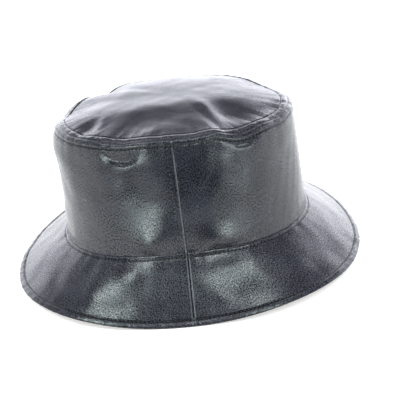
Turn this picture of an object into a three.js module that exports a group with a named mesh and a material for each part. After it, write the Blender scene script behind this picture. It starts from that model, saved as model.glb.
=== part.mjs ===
// Rain bucket hat of coated linen: an oval top, a two-piece crown side, a two-piece upper brim and
// the layer under the brim. Millimetres, +Z up, the brim's edge stands on z = 0.
// +X is the front of the hat, and the side seams are at the left (-Y) and the right (+Y).
import * as THREE from 'three';

// The oval where the top is sewn to the crown's side, the rim.
const RIM = { halfLength: 92.8, halfWidth: 76.7, height: 123.5, riseLeft: 6.6, riseRight: 2.5, lean: 1.0 };
const DOME_HEIGHT = 12.0;
const RIM_TURN = { out: 0.8, down: 6.0, drop: 1.2, from: 0.945 };

// The oval where the crown's side meets the brim, about a size M head.
const BASE = { halfLength: 98.2, halfWidth: 86.0, height: 33.2, rise: 10.0, lean: 2.4 };
const SIDE_BELLY = 0.4;

// The brim is cut to one width. Its edge lies on the floor at four lands and lifts between them.
const BRIM = { width: 55.6, lift: 6.4, land: 0.5 };

// Cloth and seams.
const CROWN_WALL = 1.3;
const BRIM_WALL = 1.2;
const FACING_WALL = 1.2;
const LAYER_GAP = 0.3;
const SEAM_GAP = 0.25;
const SEAM_ANGLE = -85;
const PANEL_TURN = 180;

// Soft sags of the rim: where round the hat, how wide in degrees and how deep in millimetres.
const RIM_SAGS = [
  { name: 'front right', angle: 26, spread: 17.5, drop: 5.2 },
  { name: 'right', angle: 92, spread: 40, drop: 5.0 },
  { name: 'back right', angle: 141, spread: 9, drop: 6.4 },
  { name: 'back corner', angle: 172, spread: 12, drop: 6.2 },
  { name: 'left of seam', angle: -116, spread: 10, drop: 1.6 },
  { name: 'ridge foot', angle: -62, spread: 7, drop: -2.0 },
  { name: 'right of seam', angle: -50, spread: 9, drop: 2.8 },
  { name: 'front near', angle: -23, spread: 8, drop: 1.6 },
];

// Dents and puffs of the top: centre, direction of the long side, half sizes and height.
const TIP_FOLDS = [
  { name: 'ridge', x: 31, y: -35, turn: -60, long: 26, wide: 5, push: 2.0 },
  { name: 'hollow by the ridge', x: 50, y: -38, turn: -45, long: 20, wide: 11, push: -3.4 },
  { name: 'dent at the front rim', x: 80, y: -18, turn: 70, long: 12, wide: 6, push: -2.6 },
  { name: 'corner hollow', x: -62, y: -42, turn: 50, long: 15, wide: 8, push: -2.6 },
  { name: 'corner ridge', x: -51, y: -38, turn: 80, long: 15, wide: 4, push: 1.5 },
  { name: 'near pillow', x: -18, y: -25, turn: 6, long: 44, wide: 15, push: 2.0 },
  { name: 'right puff', x: -2, y: 44, turn: -4, long: 52, wide: 17, push: 0.8 },
  { name: 'back puff', x: -50, y: 8, turn: 60, long: 26, wide: 20, push: 0.8 },
];

// Dents and bulges of the crown's side: angle, height on the hat, half sizes and push outwards.
const SIDE_FOLDS = [
  { name: 'dent under the back sag', angle: -114.5, height: 119, spread: 9, tall: 8, push: -2.2 },
  { name: 'dent under the front sag', angle: -50.5, height: 119, spread: 6.5, tall: 6, push: -1.8 },
  { name: 'back bulge', angle: -166, height: 109, spread: 18, tall: 14, push: 2.6 },
  { name: 'hollow over the back flare', angle: -105, height: 86, spread: 11, tall: 20, push: -2.2 },
  { name: 'back flare', angle: -102, height: 46, spread: 9, tall: 16, push: 2.8 },
  { name: 'bulge over the front flare', angle: -46, height: 92, spread: 10, tall: 24, push: 1.8 },
  { name: 'front flare', angle: -71, height: 48, spread: 8, tall: 14, push: 3.2 },
  { name: 'foot of the front flare', angle: -60, height: 42, spread: 7, tall: 12, push: 1.6 },
];

// Folds of the brim: angle, distance from the crown seam, half sizes and push off its face.
const BRIM_FOLDS = [
  { name: 'back wave', angle: -125, out: 32, spread: 6.5, far: 18, push: 2.2 },
  { name: 'wave at the back fold', angle: -112.5, out: 16, spread: 6.5, far: 15, push: 1.9 },
  { name: 'hollow in front', angle: -65, out: 24, spread: 12, far: 16, push: -2.6 },
  { name: 'front wave', angle: -46, out: 34, spread: 8, far: 16, push: 1.0 },
  { name: 'front hollow', angle: -22, out: 30, spread: 10, far: 16, push: -1.2 },
];

// How finely each strip of the cloth is divided.
const STEPS_ROUND = 96;
const TIP_ROWS = [0, 0.16, 0.32, 0.48, 0.62, 0.75, 0.86, 0.95, 1];
const SIDE_ROWS = [1, 1.05, 1.11, 1.19, 1.32, 1.48, 1.66, 1.84, 2];
const BRIM_ROWS = [2, 2.16, 2.38, 2.62, 2.84, 3];

const radians = THREE.MathUtils.degToRad;
const mix = THREE.MathUtils.lerp;

// A soft hump: one at its middle, fading with the squared distance.
function hump(...shares) {
  const squared = shares.reduce((sum, share) => sum + share * share, 0);
  return Math.exp(-squared);
}

// The shorter way round from one angle to another, in degrees.
function turnBetween(from, to) {
  return THREE.MathUtils.euclideanModulo(to - from + 180, 360) - 180;
}

// A point of an oval at an angle, and the way straight out of the oval there.
function oval(angle, halfLength, halfWidth) {
  const c = Math.cos(radians(angle));
  const s = Math.sin(radians(angle));
  const reach = 1 / Math.hypot(c / halfLength, s / halfWidth);
  const point = new THREE.Vector2(reach * c, reach * s);
  const out = new THREE.Vector2(point.x / halfLength ** 2, point.y / halfWidth ** 2).normalize();
  return { point, out };
}

function rimHeight(angle) {
  const s = Math.sin(radians(angle));
  const rise = s < 0 ? RIM.riseLeft : RIM.riseRight;
  let height = RIM.height + rise * s * s - RIM.lean * Math.cos(radians(angle));
  for (const sag of RIM_SAGS) {
    height -= sag.drop * hump(turnBetween(sag.angle, angle) / sag.spread);
  }
  return height;
}

function baseHeight(angle) {
  return BASE.height + BASE.rise * Math.sin(radians(angle)) ** 2 + BASE.lean * Math.cos(radians(angle));
}

function edgeHeight(angle) {
  return Math.max(0, BRIM.lift * Math.sin(radians(2 * angle)) ** 2 - BRIM.land);
}

function brimSlope(angle) {
  return Math.asin((baseHeight(angle) - edgeHeight(angle)) / BRIM.width);
}

// The top, from its middle (share 0) to the rim (share 1).
function tipPoint(angle, share) {
  const { point } = oval(angle, RIM.halfLength, RIM.halfWidth);
  const x = point.x * share;
  const y = point.y * share;
  const turnedDown = Math.max(0, (share - RIM_TURN.from) / (1 - RIM_TURN.from));
  let z = mix(RIM.height, rimHeight(angle), share ** 3);
  z += (DOME_HEIGHT + RIM_TURN.drop) * (1 - share * share) + RIM_TURN.drop * (share * share - turnedDown ** 2);
  for (const fold of TIP_FOLDS) {
    const c = Math.cos(radians(fold.turn));
    const s = Math.sin(radians(fold.turn));
    const along = (x - fold.x) * c + (y - fold.y) * s;
    const across = (y - fold.y) * c - (x - fold.x) * s;
    z += fold.push * hump(along / fold.long, across / fold.wide) * (1 - share ** 8);
  }
  return new THREE.Vector3(x, y, z);
}

// The crown's side, from the rim (share 0) down to the brim (share 1).
function sidePoint(angle, share) {
  const top = oval(angle, RIM.halfLength, RIM.halfWidth);
  const foot = oval(angle, BASE.halfLength, BASE.halfWidth);
  const z = mix(rimHeight(angle), baseHeight(angle), share);
  const down = Math.min(1, (rimHeight(angle) - z) / RIM_TURN.down);
  let out = RIM_TURN.out * (1 - (1 - down) ** 2) * (1 - share);
  out += SIDE_BELLY * Math.sin(Math.PI * share);
  for (const fold of SIDE_FOLDS) {
    const round = turnBetween(fold.angle, angle) / fold.spread;
    out += fold.push * hump(round, (z - fold.height) / fold.tall) * down * (1 - share ** 12);
  }
  const point = top.point.clone().lerp(foot.point, share).addScaledVector(foot.out, out);
  return new THREE.Vector3(point.x, point.y, z);
}

// The brim, from the crown seam (share 0) out to its edge (share 1).
function brimPoint(angle, share) {
  const { point, out } = oval(angle, BASE.halfLength, BASE.halfWidth);
  const slope = brimSlope(angle);
  const reach = share * BRIM.width;
  let push = 0;
  for (const fold of BRIM_FOLDS) {
    const round = turnBetween(fold.angle, angle) / fold.spread;
    push += fold.push * hump(round, (reach - fold.out) / fold.far);
  }
  push *= Math.min(1, 4 * share) * (1 - share ** 4);
  const level = reach * Math.cos(slope) + push * Math.sin(slope);
  const z = baseHeight(angle) - reach * Math.sin(slope) + push * Math.cos(slope);
  return new THREE.Vector3(point.x + out.x * level, point.y + out.y * level, z);
}

// The outer face of the whole hat: 0 is the middle of the top, 1 the rim, 2 the crown's foot, 3 the edge.
function clothPoint(angle, row) {
  if (row <= 1) {
    return tipPoint(angle, row);
  }
  if (row <= 2) {
    return sidePoint(angle, row - 1);
  }
  return brimPoint(angle, row - 2);
}

// The way out of the cloth at a place. At a seam this is the mean of both sides.
function clothOut(angle, row) {
  const step = 0.02;
  const turn = 0.5;
  if (row === 0) {
    const forward = clothPoint(0, step).sub(clothPoint(180, step));
    const sideways = clothPoint(90, step).sub(clothPoint(270, step));
    return forward.cross(sideways).normalize();
  }
  const down = clothPoint(angle, Math.min(3, row + step)).sub(clothPoint(angle, row - step));
  const round = clothPoint(angle + turn, row).sub(clothPoint(angle - turn, row));
  return down.cross(round).normalize();
}

// A place under the outer face. At the brim's edge the depth runs level, so the edge has a flat foot.
function clothUnder(angle, row, depth) {
  const point = clothPoint(angle, row);
  const inwards = clothOut(angle, row).multiplyScalar(-depth);
  const { out } = oval(angle, BASE.halfLength, BASE.halfWidth);
  const levelDepth = depth / Math.sin(brimSlope(angle));
  const level = new THREE.Vector3(-out.x * levelDepth, -out.y * levelDepth, 0);
  const atEdge = THREE.MathUtils.smoothstep(row, BRIM_ROWS.at(-2), 3);
  return point.add(inwards.lerp(level, atEdge));
}

// A closed wall between two depths of the cloth, over a range of angles and rows.
function clothWall(angles, rows, outerDepth, innerDepth) {
  const positions = [];
  const indexOf = new Map();
  const faces = [];

  function corner(angle, row, depth) {
    const point = clothUnder(angle, row, depth);
    const key = point.toArray().map((value) => Math.round(value * 1e4)).join();
    if (!indexOf.has(key)) {
      indexOf.set(key, positions.length / 3);
      positions.push(point.x, point.y, point.z);
    }
    return indexOf.get(key);
  }

  function triangle(a, b, c) {
    if (a !== b && b !== c && c !== a) {
      faces.push(a, b, c);
    }
  }

  function quad(a, b, c, d) {
    triangle(a, b, c);
    triangle(a, c, d);
  }

  const grid = [outerDepth, innerDepth].map((depth) => (
    angles.map((angle) => rows.map((row) => corner(angle, row, depth)))));
  const [outer, inner] = grid;
  const lastAngle = angles.length - 1;
  const lastRow = rows.length - 1;
  for (let i = 0; i < lastAngle; i += 1) {
    for (let j = 0; j < lastRow; j += 1) {
      quad(outer[i][j], outer[i][j + 1], outer[i + 1][j + 1], outer[i + 1][j]);
      quad(inner[i][j], inner[i + 1][j], inner[i + 1][j + 1], inner[i][j + 1]);
    }
    quad(outer[i][0], outer[i + 1][0], inner[i + 1][0], inner[i][0]);
    quad(outer[i][lastRow], inner[i][lastRow], inner[i + 1][lastRow], outer[i + 1][lastRow]);
  }
  if (angles[lastAngle] !== angles[0]) {
    for (let j = 0; j < lastRow; j += 1) {
      quad(outer[0][j], inner[0][j], inner[0][j + 1], outer[0][j + 1]);
      quad(outer[lastAngle][j], outer[lastAngle][j + 1], inner[lastAngle][j + 1], inner[lastAngle][j]);
    }
  }

  const geometry = new THREE.BufferGeometry();
  geometry.setAttribute('position', new THREE.Float32BufferAttribute(positions, 3));
  geometry.setIndex(faces);
  geometry.computeVertexNormals();
  return geometry;
}

// The whole way round, closed on its first angle.
function fullTurn() {
  const angles = Array.from({ length: STEPS_ROUND }, (_, i) => SEAM_ANGLE + (i * 360) / STEPS_ROUND);
  return [...angles, angles[0]];
}

// Half the way round from one side seam to the other, less the gap at each end.
function panelTurn(start) {
  const gapAngle = THREE.MathUtils.radToDeg(SEAM_GAP / BASE.halfWidth);
  const steps = STEPS_ROUND / 2;
  const angles = Array.from({ length: steps + 1 }, (_, i) => start + (i * PANEL_TURN) / steps);
  angles[0] += gapAngle;
  angles[steps] -= gapAngle;
  return angles;
}

// The same rows with the gap of a sewn seam taken off the ends that are named.
function trimRows(rows, length, trimFirst, trimLast) {
  const trimmed = [...rows];
  trimmed[0] += trimFirst ? SEAM_GAP / length : 0;
  trimmed[rows.length - 1] -= trimLast ? SEAM_GAP / length : 0;
  return trimmed;
}

const SIDE_LENGTH = RIM.height - BASE.height;
const tipRows = trimRows(TIP_ROWS, RIM.halfWidth, false, true);
const sideRows = trimRows(SIDE_ROWS, SIDE_LENGTH, true, true);
const brimRows = trimRows(BRIM_ROWS, BRIM.width, true, false);
const facingStart = 2.04;
const facingRows = [facingStart, ...BRIM_ROWS.slice(1)];
const facingDepth = BRIM_WALL + LAYER_GAP;

function coatedCloth(colour, roughness) {
  return new THREE.MeshStandardMaterial({ color: colour, roughness, metalness: 0 });
}

function piece(name, geometry, material) {
  const mesh = new THREE.Mesh(geometry, material);
  mesh.name = name;
  return mesh;
}

const frontTurn = panelTurn(SEAM_ANGLE);
const backTurn = panelTurn(SEAM_ANGLE + PANEL_TURN);

const crown = new THREE.Group();
crown.add(
  piece('crown_tip', clothWall(fullTurn(), tipRows, 0, CROWN_WALL), coatedCloth('#5a6069', 0.42)),
  piece('side_panel_front', clothWall(frontTurn, sideRows, 0, CROWN_WALL), coatedCloth('#474d55', 0.42)),
  piece('side_panel_back', clothWall(backTurn, sideRows, 0, CROWN_WALL), coatedCloth('#4b5159', 0.42)),
);

const brim = new THREE.Group();
brim.add(
  piece('brim_top_front', clothWall(frontTurn, brimRows, 0, BRIM_WALL), coatedCloth('#4a5058', 0.42)),
  piece('brim_top_back', clothWall(backTurn, brimRows, 0, BRIM_WALL), coatedCloth('#4f555d', 0.42)),
  piece(
    'brim_facing',
    clothWall(fullTurn(), facingRows, facingDepth, facingDepth + FACING_WALL),
    coatedCloth('#6e6c66', 0.6),
  ),
);

// The brim reaches a little further at the back, so the hat moves to stand over the middle of its outline.
const hat = new THREE.Group();
hat.add(crown, brim);
const frontReach = brimPoint(0, 1).x;
const backReach = brimPoint(180, 1).x;
hat.position.x = -(frontReach + backReach) / 2;

export default hat;
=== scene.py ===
# %% [markdown]
# # A rain bucket hat in coated linen
# The hat is six cut pieces of cloth: an oval top, two panels for the crown's side, two for the
# upper brim, and the layer under the brim. Linen that is sealed with a thin film is dark and
# even where it faces the eye, and turns pale where it is seen at a low angle. The lesson starts
# with one formula for the face of the cloth, adds the relief of the seams and the cloth's finish,
# builds each piece as one thin wall, sews the stitches by Geometry Nodes, and ends with the light
# and the camera.

# %% Tools and the fixed frame
import math
from collections import namedtuple

import bmesh
import bpy
import numpy as np
from mathutils import Matrix, Vector


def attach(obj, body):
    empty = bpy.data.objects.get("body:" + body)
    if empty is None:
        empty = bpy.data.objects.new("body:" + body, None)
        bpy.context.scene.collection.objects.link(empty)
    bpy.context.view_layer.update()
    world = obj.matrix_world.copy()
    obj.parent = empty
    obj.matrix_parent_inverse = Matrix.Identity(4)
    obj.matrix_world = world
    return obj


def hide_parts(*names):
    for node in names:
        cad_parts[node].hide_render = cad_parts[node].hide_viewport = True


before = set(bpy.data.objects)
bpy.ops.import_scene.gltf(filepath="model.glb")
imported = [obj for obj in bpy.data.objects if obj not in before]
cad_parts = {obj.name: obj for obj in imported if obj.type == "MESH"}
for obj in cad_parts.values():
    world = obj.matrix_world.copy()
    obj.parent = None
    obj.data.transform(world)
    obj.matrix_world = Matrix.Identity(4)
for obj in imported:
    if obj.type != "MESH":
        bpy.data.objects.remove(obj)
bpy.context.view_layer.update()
MM = 0.001
print("nodes", list(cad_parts))

# %% [markdown]
# ## The sizes of the hat
# A hat pattern starts from two ovals: the head size where the crown meets the brim, and the rim
# where the top is sewn in. It could be sculpted freely, but the cloth has to lie on the solids of
# the frame, so the named sizes and the tables of folds are those of the solids. Only a few pushes
# are fitted once more, and the two dents under the rim get their crisp lips further down. +X is
# the front, -Y the left side with the seam that shows, and the floor is at height 0. Angles and
# spreads are in degrees, everything else in millimetres.

# %% Sizes and tables of folds
RIM = dict(half_length=92.8, half_width=76.7, height=123.5, rise_left=6.6, rise_right=2.5, lean=1.0)
DOME_HEIGHT = 12.0
RIM_TURN = dict(out=0.8, down=6.0, drop=1.2, start=0.945)
BASE = dict(half_length=98.2, half_width=86.0, height=33.2, rise=10.0, lean=2.4)
SIDE_BELLY = 0.4
BRIM = dict(width=55.6, lift=6.4, land=0.5)
CROWN_WALL = 1.3
BRIM_WALL = 1.2
FACING_WALL = 1.2
LAYER_GAP = 0.3
SEAM_ANGLE = -85.0

Sag = namedtuple("Sag", "name angle spread drop")
RIM_SAGS = [
    Sag("front right", 26, 17.5, 5.2),
    Sag("right", 92, 40, 5.0),
    Sag("back right", 141, 9, 6.4),
    Sag("back corner", 172, 12, 6.2),
    Sag("left of seam", -116, 10, 1.6),
    Sag("ridge foot", -62, 7, -2.0),
    Sag("right of seam", -50, 9, 2.8),
    Sag("front near", -23, 8, 1.6),
]

TipFold = namedtuple("TipFold", "name x y turn long wide push")
TIP_FOLDS = [
    TipFold("ridge", 31, -35, -60, 26, 6, 1.5),
    TipFold("hollow by the ridge", 50, -38, -45, 20, 11, -3.0),
    TipFold("dent at the front rim", 80, -18, 70, 12, 6, -2.6),
    TipFold("corner hollow", -62, -42, 50, 15, 8, -2.6),
    TipFold("corner ridge", -51, -38, 80, 15, 5, 0.9),
    TipFold("near pillow", -18, -25, 6, 44, 15, 2.0),
    TipFold("right puff", -2, 44, -4, 52, 17, 0.8),
    TipFold("back puff", -50, 8, 60, 26, 20, 0.8),
]

SideFold = namedtuple("SideFold", "name angle height spread tall push")
SIDE_FOLDS = [
    SideFold("back bulge", -166, 109, 18, 14, 2.6),
    SideFold("hollow over the back flare", -105, 86, 11, 20, -2.2),
    SideFold("back flare", -102, 46, 9, 16, 2.8),
    SideFold("bulge over the front flare", -46, 92, 10, 24, 1.2),
    SideFold("front flare", -70, 47, 8, 13, 3.8),
    SideFold("foot of the front flare", -60, 42, 7, 12, 1.6),
    SideFold("calm cloth over the bulge", -44, 118, 15, 18, 2.4),
]

BrimFold = namedtuple("BrimFold", "name angle out spread far push")
BRIM_FOLDS = [
    BrimFold("back wave", -125, 32, 6.5, 18, 2.2),
    BrimFold("wave at the back fold", -112.5, 16, 6.5, 15, 1.9),
    BrimFold("hollow in front", -65, 24, 12, 16, -2.6),
    BrimFold("front wave", -46, 34, 8, 16, 1.0),
    BrimFold("front hollow", -22, 30, 10, 16, -1.2),
]
print("folds", len(TIP_FOLDS), len(SIDE_FOLDS), len(BRIM_FOLDS))


# %% [markdown]
# ## The outer face of the cloth
# Every piece lies on one face, which runs from the middle of the top (row 0) over the rim
# (row 1) and the foot of the crown (row 2) to the edge of the brim (row 3). A subdivision cage
# would round off the rim, so the face is a formula of angle and row, worked out for a whole grid
# at once with numpy. A fold fades out before a seam by a power of the share of the way to it.

# %% The face as a formula
def hump(*shares):
    """A soft hump: one at its middle, fading with the squared distance."""
    return np.exp(-sum(share * share for share in shares))


def turn_between(start, end):
    """The shorter way round from one angle to another, in degrees."""
    return (end - start + 180) % 360 - 180


def oval(angle, shape):
    """A point of an oval at each angle, and the way straight out of the oval there."""
    half_length = shape["half_length"]
    half_width = shape["half_width"]
    c = np.cos(np.radians(angle))
    s = np.sin(np.radians(angle))
    reach = 1 / np.hypot(c / half_length, s / half_width)
    x = reach * c
    y = reach * s
    out_x = x / half_length**2
    out_y = y / half_width**2
    size = np.hypot(out_x, out_y)
    return x, y, out_x / size, out_y / size


def rim_height(angle):
    s = np.sin(np.radians(angle))
    rise = np.where(s < 0, RIM["rise_left"], RIM["rise_right"])
    height = RIM["height"] + rise * s * s - RIM["lean"] * np.cos(np.radians(angle))
    for sag in RIM_SAGS:
        height = height - sag.drop * hump(turn_between(sag.angle, angle) / sag.spread)
    return height


def base_height(angle):
    s = np.sin(np.radians(angle))
    return BASE["height"] + BASE["rise"] * s * s + BASE["lean"] * np.cos(np.radians(angle))


def edge_height(angle):
    return np.maximum(0, BRIM["lift"] * np.sin(np.radians(2 * angle)) ** 2 - BRIM["land"])


def brim_slope(angle):
    return np.arcsin((base_height(angle) - edge_height(angle)) / BRIM["width"])


def tip_point(angle, share):
    """The top, from its middle (share 0) to the rim (share 1)."""
    x, y, _, _ = oval(angle, RIM)
    x = x * share
    y = y * share
    turned_down = np.maximum(0, (share - RIM_TURN["start"]) / (1 - RIM_TURN["start"]))
    z = RIM["height"] + (rim_height(angle) - RIM["height"]) * share**3
    z = z + (DOME_HEIGHT + RIM_TURN["drop"]) * (1 - share**2)
    z = z + RIM_TURN["drop"] * (share**2 - turned_down**2)
    for fold in TIP_FOLDS:
        c = math.cos(math.radians(fold.turn))
        s = math.sin(math.radians(fold.turn))
        along = (x - fold.x) * c + (y - fold.y) * s
        across = (y - fold.y) * c - (x - fold.x) * s
        z = z + fold.push * hump(along / fold.long, across / fold.wide) * (1 - share**8)
    return np.stack([x, y, z], -1)


def side_point(angle, share):
    """The crown's side, from the rim (share 0) down to the brim (share 1)."""
    top_x, top_y, _, _ = oval(angle, RIM)
    foot_x, foot_y, out_x, out_y = oval(angle, BASE)
    z = rim_height(angle) * (1 - share) + base_height(angle) * share
    down = np.minimum(1, (rim_height(angle) - z) / RIM_TURN["down"])
    out = RIM_TURN["out"] * (1 - (1 - down) ** 2) * (1 - share)
    out = out + SIDE_BELLY * np.sin(np.pi * share)
    for fold in SIDE_FOLDS:
        round_it = turn_between(fold.angle, angle) / fold.spread
        out = out + fold.push * hump(round_it, (z - fold.height) / fold.tall) * down * (1 - share**12)
    x = top_x * (1 - share) + foot_x * share + out_x * out
    y = top_y * (1 - share) + foot_y * share + out_y * out
    return np.stack([x, y, z], -1)


def brim_point(angle, share):
    """The brim, from the crown seam (share 0) out to its edge (share 1)."""
    x, y, out_x, out_y = oval(angle, BASE)
    slope = brim_slope(angle)
    reach = share * BRIM["width"]
    push = 0 * reach
    for fold in BRIM_FOLDS:
        round_it = turn_between(fold.angle, angle) / fold.spread
        push = push + fold.push * hump(round_it, (reach - fold.out) / fold.far)
    push = push * np.minimum(1, 4 * share) * (1 - share**4)
    level = reach * np.cos(slope) + push * np.sin(slope)
    z = base_height(angle) - reach * np.sin(slope) + push * np.cos(slope)
    return np.stack([x + out_x * level, y + out_y * level, z], -1)


def cloth_point(angle, row):
    """The outer face at each angle and row, on arrays of one shape."""
    tip = tip_point(angle, np.clip(row, 0, 1))
    side = side_point(angle, np.clip(row - 1, 0, 1))
    brim = brim_point(angle, np.clip(row - 2, 0, 1))
    below_the_rim = np.where((row <= 2)[..., None], side, brim)
    return np.where((row <= 1)[..., None], tip, below_the_rim)


def cloth_out(angle, row):
    """The way out of the face. At a seam this is the mean of both sides."""
    step = 0.02
    turn = 0.5
    above = np.maximum(row, step)
    down = cloth_point(angle, np.minimum(3, above + step)) - cloth_point(angle, above - step)
    round_it = cloth_point(angle + turn, above) - cloth_point(angle - turn, above)
    out = np.cross(down, round_it)
    return out / np.linalg.norm(out, axis=-1, keepdims=True)


hat_shift = -(brim_point(0.0, 1.0)[0] + brim_point(180.0, 1.0)[0]) / 2
print("the middle of the outline is", round(-hat_shift, 2), "mm from the middle of the crown")


# %% [markdown]
# ## Where the grid has to be fine
# A needle line is under a millimetre wide, while plain cloth needs a point every few millimetres.
# An even grid that is fine enough everywhere would be a few million triangles. Steps that shrink
# only beside the seams keep each piece light, and the relief of the seam stays real geometry.

# %% Steps that shrink beside a seam
def graded(start, end, places, fine, coarse, reach):
    """Places from start to end, with steps of about fine near the named places and coarse elsewhere."""
    samples = 4001
    dense = np.linspace(start, end, samples)
    closeness = np.zeros_like(dense)
    for place in places:
        closeness = np.maximum(closeness, hump((dense - place) / reach))
    density = 1 / coarse + (1 / fine - 1 / coarse) * closeness
    count = np.concatenate([[0], np.cumsum((density[1:] + density[:-1]) / 2 * np.diff(dense))])
    steps = int(math.ceil(count[-1]))
    return np.interp(np.linspace(0, count[-1], steps + 1), count, dense)


def round_length(shape):
    """The length of one turn round an oval, measured in steps of a tenth of a degree."""
    angles = np.linspace(SEAM_ANGLE, SEAM_ANGLE + 360, 3601)
    x, y, _, _ = oval(angles, shape)
    return float(np.hypot(np.diff(x), np.diff(y)).sum())


BASE_ROUND = round_length(BASE)
RIM_ROUND = round_length(RIM)
# The brim is this long round at about a quarter of its width, where its side seams are measured.
BRIM_ROUND = BASE_ROUND + 60
SIDE_LENGTH = RIM["height"] - BASE["height"]
print("round the head", round(BASE_ROUND), "mm, round the rim", round(RIM_ROUND), "mm")


# %% [markdown]
# ## Uneven waves
# Cloth that was sewn and worn is never quite smooth. A noise texture on a Displace modifier could
# move it, but sums of a few sine waves with seeded phases close on themselves round the hat, and
# they can be read off at any place, also under a stitch.

# %% Waves for slack cloth and ripples
LONG_SWELL = 0.26
SHORT_SWELL = dict(length=15, height=0.08)


def ripple(share_round, cycles, seed):
    """An uneven wave that closes on itself, of about the given number of waves in a full turn."""
    typical_size = 2.2
    random = np.random.default_rng(seed)
    wave = np.zeros_like(share_round)
    for factor in (0.61, 0.83, 1.0, 1.31, 1.73):
        turns = max(1, round(cycles * factor)) * share_round + random.random()
        wave = wave + np.sin(2 * np.pi * turns) * random.uniform(0.5, 1)
    return wave / typical_size


def undulation(points, length, seed):
    """A soft uneven swell of about the given length over places in millimetres."""
    waves = 12
    typical_size = 3.5
    random = np.random.default_rng(seed)
    swell = 0.0
    for _ in range(waves):
        heading = random.normal(size=3)
        wave_length = length * random.uniform(0.6, 1.6)
        across = points @ (heading / np.linalg.norm(heading))
        swell = swell + np.sin(2 * np.pi * (across / wave_length + random.random()))
    return swell / typical_size


def slack(points, length, seed):
    """The slight slackness of a panel: one long swell and one short."""
    long_swell = LONG_SWELL * undulation(points, length, seed)
    short_swell = undulation(points, SHORT_SWELL["length"], seed + 1)
    return long_swell + SHORT_SWELL["height"] * short_swell


print("swells of", LONG_SWELL, "and", SHORT_SWELL["height"], "mm")


# %% [markdown]
# ## The relief of a sewn seam
# Where two pieces are sewn, the cloth turns under into a sharp groove. Between the seam and the
# topstitch it is four layers thick and puffs up, the thread pulls a narrow valley, and short
# puckers run away from it. Bump mapping could draw this, but it would be lost in the outline and in
# the exported mesh, so each is added to the face in millimetres.

# %% Relief of seams and puckers
TIP_END = 0.974
RIM_STITCH = 5.4
BASE_STITCH = 3.3
EDGE_STITCH = 5.8
SIDE_SEAM_STITCH = 6.2
BRIM_SEAM_STITCH = 6.4
STITCH_PITCH = 3.1
VALLEY_WIDTH = 0.6
GROOVE = dict(rim_width=0.5, upright_width=0.3, upright_depth=0.25)
LIPS = dict(back=0.9, front=0.8, width=0.55)
TOPSTITCH = dict(dip=0.08, puff=0.12)
SHORT_PUCKERS = dict(every=7.5, fade=5.0, share=0.6)
LONG_PUCKERS = dict(every=19.0, fade=14.0, share=1.0)
PUCKER_START = 2.0


def seam_relief(distance, stitch, puff, dip, groove=0):
    """Groove at a seam, puffed cloth up to the needle line, and the valley that the thread pulls."""
    fullness = 0.7
    inside = np.clip(distance / stitch, 0, 1)
    relief = puff * np.sin(np.pi * inside) ** fullness
    relief = relief - groove * hump(distance / GROOVE["rim_width"])
    return relief - dip * hump((distance - stitch) / VALLEY_WIDTH)


def puckers(share_round, length_round, distance, stitch, depth, seed):
    """Folds that start at the needle line, across it, and fade into the cloth."""
    beyond = np.maximum(0, distance - stitch)
    folds = 0
    for kind, size in enumerate((SHORT_PUCKERS, LONG_PUCKERS)):
        wave = ripple(share_round, length_round / size["every"], seed + kind)
        folds = folds + size["share"] * wave * np.exp(-beyond / size["fade"])
    return depth * folds * np.minimum(1, distance / PUCKER_START)


def fading_ripple(share_round, distance, every, fade, start, seed):
    """A ripple that rises within a short start beside a seam and fades into the cloth."""
    wave = ripple(share_round, BASE_ROUND / every, seed)
    return wave * np.exp(-distance / fade) * np.minimum(1, distance / start)


def from_upright_seams(angle, length_round):
    """How far in front of the nearest side seam a place lies, in millimetres."""
    left = turn_between(SEAM_ANGLE, angle)
    right = turn_between(SEAM_ANGLE + 180, angle)
    return np.where(np.abs(left) < np.abs(right), left, right) / 360 * length_round


def upright_seam_relief(across, lip_heights, stitch):
    """The seam between the front and back panels: two lips, the groove and a topstitch behind it."""
    back_height, front_height = lip_heights
    relief = back_height * hump((across + LIPS["back"]) / LIPS["width"])
    relief = relief + front_height * hump((across - LIPS["front"]) / LIPS["width"])
    relief = relief - GROOVE["upright_depth"] * hump(across / GROOVE["upright_width"])
    relief = relief - TOPSTITCH["dip"] * hump((across + stitch) / VALLEY_WIDTH)
    half_way = stitch / 2
    return relief + TOPSTITCH["puff"] * hump((across + half_way) / half_way)


print("needle lines", RIM_STITCH, BASE_STITCH, EDGE_STITCH, "mm from their seams")


# %% [markdown]
# ## Smile-shaped dents under the rim
# Where the rim sags, the spare cloth under it caves in and comes back out over a crisp curved lip.
# A sculpting brush could press it in by hand. A row of a table is easier to move and to repeat, so a
# dent deepens downwards inside an oval, and the oval's edge is nearly sharp.

# %% Crisp dents
Dent = namedtuple("Dent", "name angle height spread tall depth")
SIDE_DENTS = [
    Dent("smile under the back sag", -115.0, 123.0, 10.5, 9.5, 2.4),
    Dent("smile under the front sag", -48.5, 121.2, 6.0, 4.8, 1.3),
    Dent("upper smile in front", -49.0, 123.6, 5.4, 4.2, 0.8),
]


def dent_relief(angle, height):
    """Dents that deepen downwards to a crisp lip, where the cloth comes back out at once."""
    steepness = 1.6
    lip_softness = 0.1
    relief = np.zeros_like(angle)
    for dent in SIDE_DENTS:
        round_it = turn_between(dent.angle, angle) / dent.spread
        far = np.hypot(round_it, (height - dent.height) / dent.tall)
        deeper = np.clip((dent.height + dent.tall - height) / (2 * dent.tall), 0, 1) ** steepness
        relief = relief - dent.depth * deeper / (1 + np.exp((far - 1) / lip_softness))
    return relief


print("dents", [dent.name for dent in SIDE_DENTS])


# %% [markdown]
# ## The relief of each piece
# Each panel has its own seams: the rim for the top, the rim, the foot and the side seams for the
# crown's side, and the foot, the rolled edge and the side seams for the brim. The heights could
# be painted on the mesh, but as one function for each piece they stay real sizes. The two pieces
# that meet at a seam share its function, so they close without a step.

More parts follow.
